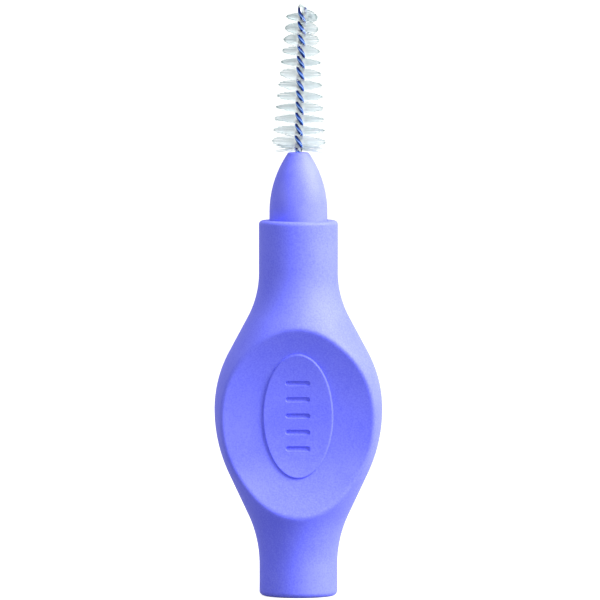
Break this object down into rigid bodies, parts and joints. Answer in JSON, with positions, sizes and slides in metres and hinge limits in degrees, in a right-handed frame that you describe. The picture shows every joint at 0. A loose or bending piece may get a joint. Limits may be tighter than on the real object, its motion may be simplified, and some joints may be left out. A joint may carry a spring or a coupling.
{
  "type": "interdental brush",
  "caption": "Small interdental brush: twisted-wire brush head with pale filaments on a soft round violet-blue grip with a thumb dish on each side and a flexing neck.",
  "frame": {"origin": "centre of the tail's flat end, which is the part's lowest point", "axes": "+Z along the grip from the tail to the brush; -Y faces the thumb dish that the picture shows, and +X is to the right in it"},
  "size_m": [0.0168, 0.011, 0.0593],
  "materials": {
    "soft_grip": "soft satin moulded elastomer",
    "hard_nose": "smooth matte",
    "coated_wire": "glossy coating over steel wire",
    "filament": "pale translucent filaments"
  },
  "bodies": {
    "grip": {"grip": "soft_grip"},
    "neck": {"grip_neck": "soft_grip"},
    "head": {"grip_collar": "soft_grip", "nose": "hard_nose", "wire_root": "coated_wire"},
    "brush": {"wire_bend": "coated_wire", "wire": "coated_wire", "bristle_tuft_00": "filament", "bristle_tuft_01": "filament", "bristle_tuft_02": "filament", "bristle_tuft_03": "filament", "bristle_tuft_04": "filament", "bristle_tuft_05": "filament", "bristle_tuft_06": "filament", "bristle_tuft_07": "filament", "bristle_tuft_08": "filament", "bristle_tuft_09": "filament", "bristle_tuft_10": "filament", "bristle_tuft_11": "filament", "bristle_tuft_12": "filament"}
  },
  "joints": [
    {"name": "neck_flex_front_back", "type": "hinge", "parent": "grip", "child": "neck", "pos_m": [0, 0, 0.02835], "axis": [1, 0, 0], "range_deg": [-25, 25], "stiffness_Nm_per_rad": 0.012, "deforming": ["grip_neck"]},
    {"name": "neck_flex_side", "type": "hinge", "parent": "neck", "child": "head", "pos_m": [0, 0, 0.03185], "axis": [0, 1, 0], "range_deg": [-25, 25], "stiffness_Nm_per_rad": 0.012, "deforming": ["grip_neck"]},
    {"name": "wire_bend", "type": "hinge", "parent": "head", "child": "brush", "pos_m": [0.00003, 0, 0.0457], "axis": [1, 0, 0], "range_deg": [-45, 45], "deforming": ["wire_bend", "bristle_tuft_00", "bristle_tuft_01"]}
  ]
}
